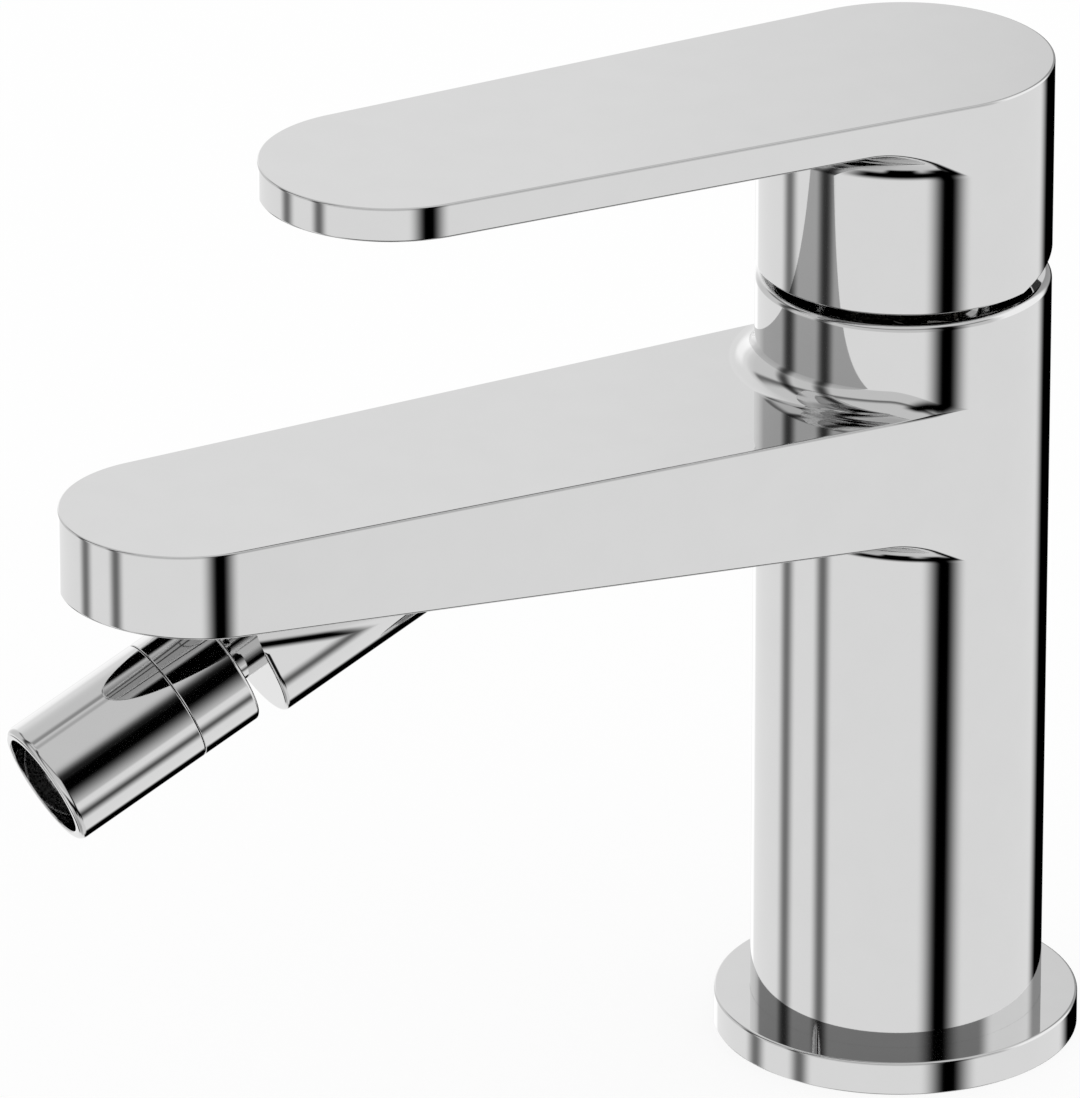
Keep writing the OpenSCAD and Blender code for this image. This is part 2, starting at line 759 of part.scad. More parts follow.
module nozzle_collar() {
    color("gainsboro") at_nozzle() difference() {
        rotate_extrude() polygon(concat([[0, collar_rear]],
            arc(nozzle_r - collar_edge, collar_rear + collar_edge, collar_edge, -90, 0, 6),
            [[nozzle_r, collar_front - groove_edge], [nozzle_r - groove_edge, collar_front],
             [spigot_d / 2, collar_front], [spigot_d / 2, spigot_end], [0, spigot_end]]));
        intersection() {
            sphere(r = seat_r);
            translate([0, 0, lip_z]) cylinder(h = 2 * seat_r, r = 2 * seat_r);
        }
        cylinder(h = spigot_end + through, d = collar_bore_d);
        translate([0, 0, collar_rear - through])
            cylinder(h = lip_z - collar_rear + through + slip_fit, r1 = lip_r + lip_flare, r2 = lip_r);
    }
}

module front_seal() {
    color("black") at_nozzle()
        ring(collar_bore_d / 2 - slip_fit, front_seal_bore, front_seal_foot, gland_foot);
}

module gland_ring() {
    color("darkgray") at_nozzle()
        ring(collar_bore_d / 2 - thread_fit, gland_bore_d / 2, gland_foot, gland_foot + gland_len);
}

module nozzle_sleeve() {
    sleeve_rear = collar_front + groove_w;
    bore_r = spigot_d / 2 + slip_fit;
    color("gainsboro") at_nozzle() rotate_extrude() polygon(concat(
        [[bore_r, sleeve_rear], [nozzle_r - groove_edge, sleeve_rear],
         [nozzle_r, sleeve_rear + groove_edge]],
        arc(nozzle_r - rim_edge, nozzle_front - rim_edge, rim_edge, 0, 90, 6),
        [[mouth_d / 2, nozzle_front], [mouth_d / 2, ledge_front], [ledge_bore_d / 2, ledge_front],
         [ledge_bore_d / 2, ledge_rear], [bore_r, ledge_rear]]));
}

module aerator_seal() {
    color("black") at_nozzle()
        ring(cage_r, cage_bore_r, spigot_end + slip_fit, cage_rear);
}

// Holes on rings about the nozzle's axis
module ring_holes(holes, z0, z1) {
    for (n = [0 : holes[2]]) for (i = [0 : max(0, 6 * n - 1)]) rotate([0, 0, i * 60 / max(1, n)])
        translate([n * holes[1], 0, z0]) cylinder(h = z1 - z0, d = holes[0], $fn = 24);
}

module aerator_cage() {
    color("dimgray") at_nozzle() difference() {
        translate([0, 0, cage_rear]) cylinder(h = ledge_rear - cage_rear, r = cage_r);
        translate([0, 0, cage_rear - through])
            cylinder(h = grid_rear - cage_rear + through, r = cage_bore_r);
        ring_holes(cage_holes, grid_rear - through, ledge_rear + through);
    }
}

module aerator_mesh() {
    color("silver") at_nozzle() for (i = [1, 2]) {
        rear = straightener_rear - i * (mesh_gap + mesh_t);
        difference() {
            translate([0, 0, rear]) cylinder(h = mesh_t, r = screen_r);
            ring_holes(mesh_holes, rear - through, rear + mesh_t + through);
        }
    }
}

module flow_straightener() {
    color("dimgray") at_nozzle() difference() {
        translate([0, 0, straightener_rear]) cylinder(h = straightener_t, r = screen_r);
        ring_holes(straightener_holes, straightener_rear - through, grid_rear + through);
    }
}

body_casting();
base_ring();
base_gasket();
cartridge_base();
port_seals();
disc_seals();
fixed_disc();
moving_disc();
disc_carrier();
cartridge_housing();
housing_o_ring();
retaining_nut();
rotor();
spindle();
spindle_pin();
handle();
grub_screw();
screw_plug();
ball_stem();
stem_washer();
ball_liner();
nozzle_collar();
nozzle_sleeve();
front_seal();
gland_ring();
aerator_seal();
aerator_cage();
aerator_mesh();
flow_straightener();
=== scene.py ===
# %% [markdown]
# # A bidet mixer in polished chrome
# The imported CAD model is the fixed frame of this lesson. Every piece already sits where it belongs,
# in metres, with the middle of the base at the origin, +Z up the column and the spout along -Y.
# Chrome is a mirror, so its looks depend on two things: surfaces whose normals are exact, and a
# studio worth mirroring. The outer metal is therefore built again here as smooth skins with fine
# rounded edges, and the small inner pieces keep their CAD shapes and get finishes.

import json
import math

import bpy
from mathutils import Matrix, Vector
from mathutils.geometry import tessellate_polygon


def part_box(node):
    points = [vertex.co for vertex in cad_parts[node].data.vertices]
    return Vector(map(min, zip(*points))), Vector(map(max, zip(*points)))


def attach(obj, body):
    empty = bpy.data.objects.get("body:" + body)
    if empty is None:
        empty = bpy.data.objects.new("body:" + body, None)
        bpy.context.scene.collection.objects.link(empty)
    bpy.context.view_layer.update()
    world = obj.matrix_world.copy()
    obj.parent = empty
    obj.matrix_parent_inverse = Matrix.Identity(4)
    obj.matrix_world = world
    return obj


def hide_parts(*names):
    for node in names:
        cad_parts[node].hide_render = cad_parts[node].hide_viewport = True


MM = 0.001
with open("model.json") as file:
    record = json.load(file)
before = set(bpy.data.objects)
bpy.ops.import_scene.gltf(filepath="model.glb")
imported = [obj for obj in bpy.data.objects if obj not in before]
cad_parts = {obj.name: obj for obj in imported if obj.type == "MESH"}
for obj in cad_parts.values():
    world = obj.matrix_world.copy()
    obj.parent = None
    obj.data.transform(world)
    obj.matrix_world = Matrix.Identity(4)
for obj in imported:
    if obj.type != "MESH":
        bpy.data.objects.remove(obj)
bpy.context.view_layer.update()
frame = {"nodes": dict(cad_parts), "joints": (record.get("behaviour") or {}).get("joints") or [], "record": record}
nodes = frame["nodes"]

# %% [markdown]
# ## The camera
# A long lens from two metres away keeps the upright edges of the column almost parallel, as in a
# catalogue picture. The camera could be aimed with a constraint, but a place and two angles are
# enough, and they stay readable: how far it is turned round the column and how far it looks down.

# %% Place the camera
CAMERA_AT = Vector((1581.9, -897.4, 869.8)) * MM
CAMERA_TURN = math.radians(62.05)
CAMERA_DIP = math.radians(23.65)
SENSOR = 36.0
PICTURE_H = 1098
FOCAL_PIXELS = 13940.0
NEAREST, FARTHEST = 0.1, 20.0

lens_data = bpy.data.cameras.new("picture_camera")
lens_data.sensor_width = SENSOR
lens_data.lens = FOCAL_PIXELS / PICTURE_H * SENSOR
lens_data.clip_start = NEAREST
lens_data.clip_end = FARTHEST
camera = bpy.data.objects.new("picture_camera", lens_data)
bpy.context.scene.collection.objects.link(camera)
camera.location = CAMERA_AT
camera.rotation_euler = (math.radians(90) - CAMERA_DIP, 0, CAMERA_TURN)
bpy.context.scene.camera = camera
print(f"camera: {lens_data.lens:.0f} mm lens, {CAMERA_AT.length:.2f} m from the base")

# %% [markdown]
# ## Measures of the outer metal
# The outer sizes are read off the CAD pieces' boxes, so they follow the model if it changes. Sizes
# that no box shows, such as walls, bores and rounds, are written down again in millimetres.

# %% Read the sizes from the frame
body_low, body_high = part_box("body_casting")
handle_low, handle_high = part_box("handle")
_, base_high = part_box("base_ring")
joints = {joint["name"]: joint for joint in frame["joints"]}

COLUMN_R = body_high.y
COLUMN_TOP = body_high.z
COLUMN_FOOT = body_low.z
SPOUT_END = -body_low.y
HANDLE_TOP = handle_high.z
HANDLE_RIM = handle_low.z
LEVER_END = -handle_low.y
SPOUT_DROP = 13.4 * MM
SPOUT_TOP = COLUMN_TOP - SPOUT_DROP
SPOUT_ROOT_T = 19.9 * MM
SPOUT_TIP_T = 11.8 * MM
SPOUT_TIP_R = 17.65 * MM
LEVER_TIP_R = 18.55 * MM
LEVER_T = 5 * MM
print(f"column {2 * COLUMN_R / MM:.1f} mm wide and {COLUMN_TOP / MM:.1f} mm tall")
print(f"spout {SPOUT_END / MM:.1f} mm and lever {LEVER_END / MM:.1f} mm from the axis")

# %% [markdown]
# ## A skin with exact normals
# A mirror shows every small error of a surface. A boolean followed by a bevel gives the right shape
# but averages normals across large flat faces, and the reflections then bend. So each skin is made
# of rings of points, and every ring point carries the normal that the true surface has there.
# Rings that fall together, as where a fillet runs out to nothing, are merged and leave no thin faces.

# %% Helper: build a mesh from rings
UP = Vector((0, 0, 1))
SAME_PLACE = 2e-7


class Skin:
    """Faces of one smooth metal piece, with its own normal at every corner of every face."""

    def __init__(self):
        self.points, self.index, self.faces, self.normals = [], {}, [], []

    def vertex(self, point):
        key = tuple(round(c / SAME_PLACE) for c in point)
        if key not in self.index:
            self.index[key] = len(self.points)
            self.points.append(point)
        return self.index[key]

    def face(self, corners):
        """Add one face from (point, normal) corners, turned so that it looks along its normals."""
        ids, normals = [], []
        for point, normal in corners:
            vertex = self.vertex(point)
            if vertex not in ids:
                ids.append(vertex)
                normals.append(normal)
        if len(ids) < 3:
            return
        a, b, c = (self.points[ids[k]] for k in (0, len(ids) // 3, 2 * len(ids) // 3))
        if (b - a).cross(c - a).dot(sum(normals, Vector())) < 0:
            ids.reverse()
            normals.reverse()
        self.faces.append(ids)
        self.normals += normals

    def band(self, ring, other):
        """Join two rings of (point, normal) by four-cornered faces."""
        for i in range(len(ring)):
            k = (i + 1) % len(ring)
            self.face([ring[i], ring[k], other[k], other[i]])

    def bands(self, rings):
        for ring, other in zip(rings, rings[1:]):
            self.band(ring, other)

    def sheet(self, strips):
        """Join open strips of (point, normal) side by side."""
        for strip, other in zip(strips, strips[1:]):
            for i in range(len(strip) - 1):
                self.face([strip[i], strip[i + 1], other[i + 1], other[i]])

    def piece(self, name, body, node):
        """Make the object, let it ride on its body and stand for its CAD node."""
        mesh = bpy.data.meshes.new(name)
        mesh.from_pydata(self.points, [], self.faces)
        mesh.normals_split_custom_set(self.normals)
        made = bpy.data.objects.new(name, mesh)
        bpy.context.scene.collection.objects.link(made)
        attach(made, body)
        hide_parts(node)
        print(f"{name}: {len(self.faces)} faces")
        return made


def faced(ring, normal):
    """The same ring with one flat normal all round."""
    return [(point, normal) for point, _ in ring]


# %% [markdown]
# ## Turned pieces
# The base ring, the nozzle's two halves and the ball stem are turned on a lathe. Blender's Screw
# modifier could spin a profile, but a small function of our own also keeps the exact normals. The
# profile is a closed polygon of (radius, height, edge round) corners, walked with the metal on the
# left, and each corner with a round becomes a short arc.

# %% Helper: profiles and the lathe
ARC_STEPS = 6
TURNS = 144


def rounded_profile(corners):
    """(radius, height, normal) stations of a closed profile; a round of 0 leaves a sharp corner."""
    stations = []
    count = len(corners)
    for i, (r, z, edge) in enumerate(corners):
        here = Vector((r, z))
        back = (here - Vector(corners[i - 1][:2])).normalized()
        ahead = (Vector(corners[(i + 1) % count][:2]) - here).normalized()
        n_in, n_out = Vector((back.y, -back.x)), Vector((ahead.y, -ahead.x))
        bend = back.angle_signed(ahead)
        trim = edge * abs(math.tan(bend / 2))
        if trim < SAME_PLACE:
            stations += [(here, n_in), (here, n_out)]
            continue
        start, side = here - back * trim, 1 if bend < 0 else -1
        middle = start - n_in * edge * side
        for k in range(ARC_STEPS + 1):
            normal = n_in.lerp(n_out, k / ARC_STEPS).normalized()
            stations.append((middle + normal * edge * side, normal))
    return stations


def heading(angle):
    return Vector((math.cos(angle), math.sin(angle), 0))


def circle_ring(radius, z, normal, middle=Vector()):
    """Ring about an upright axis; the normal is (outward, upward)."""
    outs = [heading(2 * math.pi * i / TURNS) for i in range(TURNS)]
    return [(middle + out * radius + UP * z, out * normal[0] + UP * normal[1]) for out in outs]


def turned(skin, corners, place=None):
    """Spin a profile about +Z, then carry it to its place."""
    stations = rounded_profile(corners)
    rings = [circle_ring(p.x, p.y, n) for p, n in stations]
    if place:
        turn = place.to_3x3()
        rings = [[(place @ p, turn @ n) for p, n in ring] for ring in rings]
    skin.bands(rings + rings[:1])


# %% Turn the base ring
BASE_EDGE, BASE_FOOT_EDGE = 0.4 * MM, 0.2 * MM
BASE_BORE_R = 16.5 * MM
SEAT_R = COLUMN_R + 0.01 * MM
GASKET_IN, GASKET_OUT, GASKET_DEPTH = 20.45 * MM, 24.05 * MM, 1.6 * MM
BASE_R, BASE_H = base_high.x, base_high.z

skins = []
base = Skin()
turned(base, [
    (BASE_BORE_R, 0, 0),
    (GASKET_IN, 0, 0),
    (GASKET_IN, GASKET_DEPTH, 0),
    (GASKET_OUT, GASKET_DEPTH, 0),
    (GASKET_OUT, 0, 0),
    (BASE_R, 0, BASE_FOOT_EDGE),
    (BASE_R, BASE_H, BASE_EDGE),
    (SEAT_R, BASE_H, 0),
    (SEAT_R, COLUMN_FOOT, 0),
    (BASE_BORE_R, COLUMN_FOOT, 0),
])
skins.append(base.piece("base_ring_skin", "mixer_body", "base_ring"))

# %% [markdown]
# ## The nozzle
# The nozzle is a short tube in two halves that screw together round a ball. Its axis slopes down from
# the ball's centre, so the two profiles are spun about +Z first and then tipped into place. The fine
# groove between the halves and the rolled rim at the mouth catch the light in the picture.

# %% Turn the collar and the sleeve
NOZZLE_R = 9.2 * MM
COLLAR_REAR, COLLAR_FRONT = -3.7 * MM, 5.7 * MM
COLLAR_EDGE, GROOVE_EDGE, RIM_ROUND = 0.6 * MM, 0.15 * MM, 0.9 * MM
SPIGOT_R, SPIGOT_END, SPIGOT_BORE_R = 7.6 * MM, 11.5 * MM, 6.9 * MM
SOCKET_REAR, SOCKET_R, SOCKET_LIP_R, SOCKET_LIP_EDGE = -3.15 * MM, 6.25 * MM, 5.4 * MM, 0.1 * MM
COLLAR_MOUTH_R = 6.4 * MM
SLEEVE_REAR, NOZZLE_FRONT = 5.8 * MM, 26.99 * MM
SLEEVE_BORE_R, MOUTH_R, MOUTH_EDGE = 7.65 * MM, 7.6 * MM, 0.2 * MM
LEDGE_R, LEDGE_REAR, LEDGE_FRONT = 6.7 * MM, 20.5 * MM, 21.5 * MM
SIDE = Vector((1, 0, 0))

ball = Vector(joints["nozzle_yaw"]["pos_m"])
upright = Vector(joints["nozzle_yaw"]["axis"])
jet = SIDE.cross(upright)
tip_over = UP.rotation_difference(jet).to_matrix()
on_nozzle = Matrix.Translation(ball) @ tip_over.to_4x4()

collar = Skin()
turned(collar, [
    (COLLAR_MOUTH_R, COLLAR_REAR, SOCKET_LIP_EDGE),
    (NOZZLE_R, COLLAR_REAR, COLLAR_EDGE),
    (NOZZLE_R, COLLAR_FRONT, GROOVE_EDGE),
    (SPIGOT_R, COLLAR_FRONT, 0),
    (SPIGOT_R, SPIGOT_END, 0),
    (SPIGOT_BORE_R, SPIGOT_END, 0),
    (SPIGOT_BORE_R, 0, 0),
    (SOCKET_R, 0, 0),
    (SOCKET_LIP_R, SOCKET_REAR, 0),
], on_nozzle)
skins.append(collar.piece("nozzle_collar_skin", "nozzle", "nozzle_collar"))

sleeve = Skin()
turned(sleeve, [
    (SLEEVE_BORE_R, SLEEVE_REAR, 0),
    (NOZZLE_R, SLEEVE_REAR, GROOVE_EDGE),
    (NOZZLE_R, NOZZLE_FRONT, RIM_ROUND),
    (MOUTH_R, NOZZLE_FRONT, MOUTH_EDGE),
    (MOUTH_R, LEDGE_FRONT, 0),
    (LEDGE_R, LEDGE_FRONT, SOCKET_LIP_EDGE),
    (LEDGE_R, LEDGE_REAR, 0),
    (SLEEVE_BORE_R, LEDGE_REAR, 0),
], on_nozzle)
skins.append(sleeve.piece("nozzle_sleeve_skin", "nozzle", "nozzle_sleeve"))

# %% [markdown]
# ## The plan of a tongue
# The spout and the lever are alike: seen from above, a tapering tongue leaves the round column along
# two tangents and ends in a smaller round. One function gives that outline for both. It could be
# drawn as a curve with handles, but a formula keeps the tangents exact.

# %% Helper: outline of a tongue
HUB_STEPS, LINE_STEPS, TIP_STEPS = 120, 40, 96


def tongue_outline(tip_r, end):
    """(point, normal) all round the column and its tongue, seen from above."""
    length = end - tip_r
    lean = math.asin((COLUMN_R - tip_r) / length)
    span = math.atan(length * math.cos(lean) / COLUMN_R)
    left, right = math.pi + lean, 2 * math.pi - lean
    turns = [span * k / LINE_STEPS for k in range(1, LINE_STEPS)]
    hub = [heading(-lean + (left + lean) * k / HUB_STEPS) for k in range(HUB_STEPS + 1)]
    tip = [heading(left + (right - left) * k / TIP_STEPS) for k in range(TIP_STEPS + 1)]
    outline = [(out * COLUMN_R, out) for out in hub]
    outline += [(heading(left + turn) * COLUMN_R / math.cos(turn), heading(left)) for turn in turns]
    outline += [(out * tip_r - Vector((0, length, 0)), out) for out in tip]
    turns.reverse()
    outline += [(heading(right - turn) * COLUMN_R / math.cos(turn), heading(right)) for turn in turns]
    return outline


# %% [markdown]
# ## Edges and fillets
# A cast and polished body has no knife edges. Where the tongue's side meets its flat face, a small
# round runs along the edge, and where that face meets the column, a fillet fills the corner. Both are
# rings again: the rounds along the edge, then the flat face, then the fillet up the column's wall.

# %% Helper: rounded edges and corner fillets
EDGE_STEPS = 4
FILLET_STEPS = 12
FINE_EDGE = 0.35 * MM
TINY = 1e-6


def rounded_edge(start, corner, end, start_normal, end_normal):
    """Points of a soft edge from one face to the next, drawn towards the sharp corner."""
    points = []
    for k in range(EDGE_STEPS + 1):
        t = k / EDGE_STEPS
        point = start * (1 - t) ** 2 + corner * 2 * t * (1 - t) + end * t ** 2
        points.append((point, start_normal.lerp(end_normal, t).normalized()))
    return points


def tongue_face(outline, level, fillet, side, slope=0.0, keep_edge=False):
    """Rings from a tongue's side wall over its edge and flat face to the column's wall.

    The face looks up (side 1) or down (side -1), meets the axis at the given level and climbs by the
    slope towards the tip. Near the column the tongue is narrower than the fillet. Its side then cuts
    the fillet off, or, to keep the edge straight, the fillet sinks until it ends on the edge.
    """
    flat = Vector((0, slope, 1)).normalized() * side
    middle_r = COLUMN_R + fillet

    def at(ray, r, sink):
        """Point, normal and turn of the fillet at a distance along a ray from the axis."""
        climb = -slope * ray.y
        first = -side * math.atan(climb)
        turn = max(first, math.asin(max(-1, min(1, (middle_r - r) / fillet))))
        if turn <= first + TINY:
            return ray * r + UP * (level + climb * r), flat, first
        middle_z = level + climb * middle_r + side * (fillet * math.hypot(1, climb) - sink)
        z = middle_z - side * fillet * math.cos(turn)
        return ray * r + UP * z, ray * math.sin(turn) + UP * side * math.cos(turn), turn

    softs = [max(0, min(FINE_EDGE, 0.5 * (point.length - COLUMN_R))) for point, _ in outline]
    inners = [point - out * soft for (point, out), soft in zip(outline, softs)]
    shorts = [max(0, min(fillet, middle_r - inner.length)) for inner in inners]
    sinks = [fillet - math.sqrt(fillet ** 2 - short ** 2) if keep_edge else 0 for short in shorts]
    columns = []
    for i, (point, out) in enumerate(outline):
        inner, soft, sink = inners[i], softs[i], sinks[i]
        k = (i + 1) % len(outline)
        sinking = (sinks[k] - sinks[i - 1]) / max(TINY, inners[i - 1].angle(inners[k]))
        ray = inner.normalized()
        corner = at(point.normalized(), point.length, sink)[0]
        if keep_edge:
            corner = point + UP * (level - slope * point.y)
        edge_end, face_normal, turn = at(ray, inner.length, sink)
        column = rounded_edge(corner - UP * side * soft, corner, edge_end, out, face_normal)
        for step in range(FILLET_STEPS + 1):
            now = turn + (math.pi / 2 - turn) * step / FILLET_STEPS
            r = min(inner.length, COLUMN_R + fillet * (1 - math.sin(now)))
            spot, normal, now = at(ray, r, sink)
            lean = sinking * max(0, math.cos(now)) / r
            column.append((spot, (normal + UP.cross(ray) * lean).normalized()))
        columns.append(column)
    return [list(ring) for ring in zip(*columns)]


def wall_ring(outline, radius, z, side=1):
    """Ring on a round wall about the axis, looking out (side 1) or in (side -1)."""
    rays = [point.normalized() for point, _ in outline]
    return [(ray * radius + UP * z, ray * side) for ray in rays]


# %% [markdown]
# ## The body
# One brass casting makes the column and the spout, polished and plated. The skin starts inside, in the
# chamber that holds the cartridge, comes out over the column's top edge, goes down the wall, out along
# the spout and back under it, and ends at the foot, where two inlets and a stud hole go up.

# %% Helper: bores in the foot
def blind_bore(skin, middle, z, steps):
    """Bore upwards in (radius, top) steps that end flat; gives back its rim."""
    rim = circle_ring(steps[0][0], z, (-1, 0), middle)
    for i, (radius, top) in enumerate(steps):
        wall = circle_ring(radius, top, (-1, 0), middle)
        skin.band(circle_ring(radius, z, (-1, 0), middle), wall)
        z = top
        if i + 1 < len(steps):
            skin.band(faced(wall, -UP), faced(circle_ring(steps[i + 1][0], top, (-1, 0), middle), -UP))
        else:
            skin.face(faced(wall, -UP))
    return rim


# %% Shape the body
CHAMBER_R, CHAMBER_FLOOR = 12.8 * MM, 88.2 * MM
NUT_BORE_R, NUT_LEDGE = 15 * MM, 107.5 * MM
COLUMN_EDGE = 1 * MM
SPOUT_FILLET = 3.6 * MM
INLETS = [Vector((-6.5, -2.6, 0)) * MM, Vector((6.5, -2.6, 0)) * MM]
INLET_STEPS = [(4.5 * MM, COLUMN_FOOT + 14 * MM), (3 * MM, COLUMN_FOOT + 30 * MM)]
STUD_HOLE = Vector((0, 11, 0)) * MM
STUD_STEPS = [(3.4 * MM, COLUMN_FOOT + 22 * MM)]

spout = tongue_outline(SPOUT_TIP_R, SPOUT_END)
spout_under = SPOUT_TOP - SPOUT_ROOT_T
spout_slope = (SPOUT_ROOT_T - SPOUT_TIP_T) / SPOUT_END
body = Skin()
floor_ring = wall_ring(spout, CHAMBER_R, CHAMBER_FLOOR, -1)
chamber_top = wall_ring(spout, CHAMBER_R, NUT_LEDGE, -1)
nut_ledge = wall_ring(spout, NUT_BORE_R, NUT_LEDGE, -1)
nut_top = wall_ring(spout, NUT_BORE_R, COLUMN_TOP, -1)
body.face(faced(floor_ring, UP))
body.band(floor_ring, chamber_top)
body.band(faced(chamber_top, UP), faced(nut_ledge, UP))
body.band(nut_ledge, nut_top)
body.band(faced(nut_top, UP), faced(wall_ring(spout, COLUMN_R - COLUMN_EDGE, COLUMN_TOP), UP))

top_round = []
for k in range(ARC_STEPS + 1):
    rise = math.pi / 2 * (1 - k / ARC_STEPS)
    shrink = COLUMN_EDGE * (1 - math.cos(rise))
    ring = wall_ring(spout, COLUMN_R - shrink, COLUMN_TOP - COLUMN_EDGE * (1 - math.sin(rise)))
    top_round.append([(p, n * math.cos(rise) + UP * math.sin(rise)) for p, n in ring])
spout_rows = tongue_face(spout, SPOUT_TOP, SPOUT_FILLET, 1, keep_edge=True)[::-1]
spout_rows += tongue_face(spout, spout_under, SPOUT_FILLET, -1, spout_slope)
foot_ring = wall_ring(spout, COLUMN_R, COLUMN_FOOT)
body.bands(top_round + spout_rows + [foot_ring])

rims = [blind_bore(body, middle, COLUMN_FOOT, INLET_STEPS) for middle in INLETS]
rims.append(blind_bore(body, STUD_HOLE, COLUMN_FOOT, STUD_STEPS))
loops = [[p for p, _ in ring] for ring in [foot_ring] + rims]
foot_points = sum(loops, [])
for triangle in tessellate_polygon(loops):
    body.face([(foot_points[i], -UP) for i in triangle])

# %% [markdown]
# The nozzle hangs from a boss under the spout, round below and straight at the sides, and a wide
# fillet leads it into the spout's underside. Rolling a ball along the corner gives that fillet
# exactly: the ball touches the boss on one side and the flat on the other, and the metal follows it
# from touch to touch. The boss is a shell of its own in the same mesh, closed just inside the spout.

# %% Helper: strips of the boss
BOSS_R, BOSS_FACE, BOSS_EDGE = 10.6 * MM, -7.2 * MM, 0.7 * MM
BOSS_FILLET = 6 * MM

flat_up = Vector((0, spout_slope, 1)).normalized()
along_spout = SIDE.cross(flat_up)
face_middle = ball + jet * BOSS_FACE


def above_flat(point):
    """Height of a point above the plane of the spout's underside."""
    return (point - UP * spout_under).dot(flat_up)


def boss_strip(middle, out):
    """Points from the boss's face over its edge, along its side and round the fillet to the flat."""
    on_face = middle + out * BOSS_R
    ball_start = on_face + out * BOSS_FILLET
    back = (above_flat(ball_start) + BOSS_FILLET) / jet.dot(flat_up)
    soft = max(0, min(BOSS_EDGE, back / 2))
    strip = rounded_edge(on_face - out * soft, on_face, on_face - jet * soft, jet, out)
    for k in range(FILLET_STEPS + 1):
        normal = out.slerp(-flat_up, k / FILLET_STEPS)
        strip.append((ball_start - jet * back - normal * BOSS_FILLET, normal))
    return strip


# %% Add the boss under the spout
BOSS_HOLE_R, BOSS_HOLE_END = 3.3 * MM, -18 * MM
WALL_STEPS, ROUND_STEPS = 12, 64
BURIED = 0.3 * MM

wall_top = -(BOSS_FILLET + above_flat(face_middle)) / upright.dot(flat_up)
walls = [face_middle + upright * wall_top * k / WALL_STEPS for k in range(1, WALL_STEPS + 1)]
turns = [math.pi * k / ROUND_STEPS for k in range(ROUND_STEPS + 1)]
strips = [boss_strip(middle, SIDE) for middle in walls[::-1]]
strips += [boss_strip(face_middle, SIDE * math.cos(turn) - upright * math.sin(turn)) for turn in turns]
strips += [boss_strip(middle, -SIDE) for middle in walls]
body.sheet(strips)

corners = []
for strip in (strips[0], strips[-1]):
    fillet = strip[-FILLET_STEPS - 1:]
    steps = [(point - face_middle).dot(jet) / along_spout.dot(jet) for point, _ in fillet]
    cut = [(point - along_spout * step, normal) for (point, normal), step in zip(fillet, steps)]
    body.sheet([fillet, cut])
    corners.append([point for point, _ in cut])

hole_rim = [on_nozzle @ p for p, _ in circle_ring(BOSS_HOLE_R, BOSS_FACE, (-1, 0))]
hole_end = [point + jet * (BOSS_HOLE_END - BOSS_FACE) for point in hole_rim]
to_axis = [(face_middle - point).normalized() for point in hole_rim]
body.band(list(zip(hole_rim, to_axis)), list(zip(hole_end, to_axis)))
body.face([(point, jet) for point in hole_end])
face_line = corners[0][:0:-1] + [strip[0][0] for strip in strips] + corners[1][1:]
for triangle in tessellate_polygon([face_line, hole_rim]):
    body.face([((face_line + hole_rim)[i], jet) for i in triangle])

seam = [corners[0][-1]] + [strip[-1][0] for strip in strips] + [corners[1][-1]]
seam_middle = sum(seam, Vector()) / len(seam)
seam = [(point, (point - seam_middle).normalized()) for point in seam]
buried = [(point + flat_up * BURIED, normal) for point, normal in seam]
body.band(seam, buried)
body.face(faced(buried, flat_up))
skins.append(body.piece("body_skin", "mixer_body", "body_casting"))

# %% [markdown]
# ## The handle
# The handle is a cap of the column's own width whose top runs out into the lever. Only a thin seam
# parts it from the column. At the back the rim is cut away at the angle of the lift, so that the cap
# can tip, and a small plug covers the screw that holds it on the spindle.

# %% Helper: the rim of the cap
LIFT_PIVOT = Vector(joints["lever_lift"]["pos_m"])
LIFT = math.radians(joints["lever_lift"]["range_deg"][1])
LIFT_CLEARANCE = 4.15 * MM
SKIRT_R = 18.3 * MM
RIM_EDGE = 0.25 * MM
relief_normal = Vector((0, math.sin(LIFT), -math.cos(LIFT)))


def rim_at(ray, radius):
    """Point on the cap's rim and the rim's normal there."""
    point = ray * radius
    behind = point.y - LIFT_PIVOT.y + LIFT_CLEARANCE * math.sin(LIFT)
    relief = LIFT_PIVOT.z + math.tan(LIFT) * behind + LIFT_CLEARANCE * math.cos(LIFT)
    if relief > HANDLE_RIM:
        return point + UP * relief, relief_normal
    return point + UP * HANDLE_RIM, -UP


def rim_rows(outline):
    """Rings from the outer wall round the rim to the inner wall."""
    columns = []
    for point, _ in outline:
        ray = point.normalized()
        outer, _ = rim_at(ray, COLUMN_R)
        inner, _ = rim_at(ray, SKIRT_R)
        outer_end, outer_normal = rim_at(ray, COLUMN_R - RIM_EDGE)
        inner_end, inner_normal = rim_at(ray, SKIRT_R + RIM_EDGE)
        columns.append(rounded_edge(outer + UP * RIM_EDGE, outer, outer_end, ray, outer_normal)
                       + rounded_edge(inner_end, inner, inner + UP * RIM_EDGE, inner_normal, -ray))
    return [list(ring) for ring in zip(*columns)]


# %% Shape the handle
LEVER_FILLET = 5.7 * MM
ROOF = 141.1 * MM
PLUG_R, PLUG_Z, PLUG_SEAT_Y = 2.5 * MM, 131 * MM, 16.5 * MM
PATCH_HALF_H, PATCH_ROWS = 4.5 * MM, 8
PATCH_TURN = math.radians(12)
BACK = Vector((0, 1, 0))

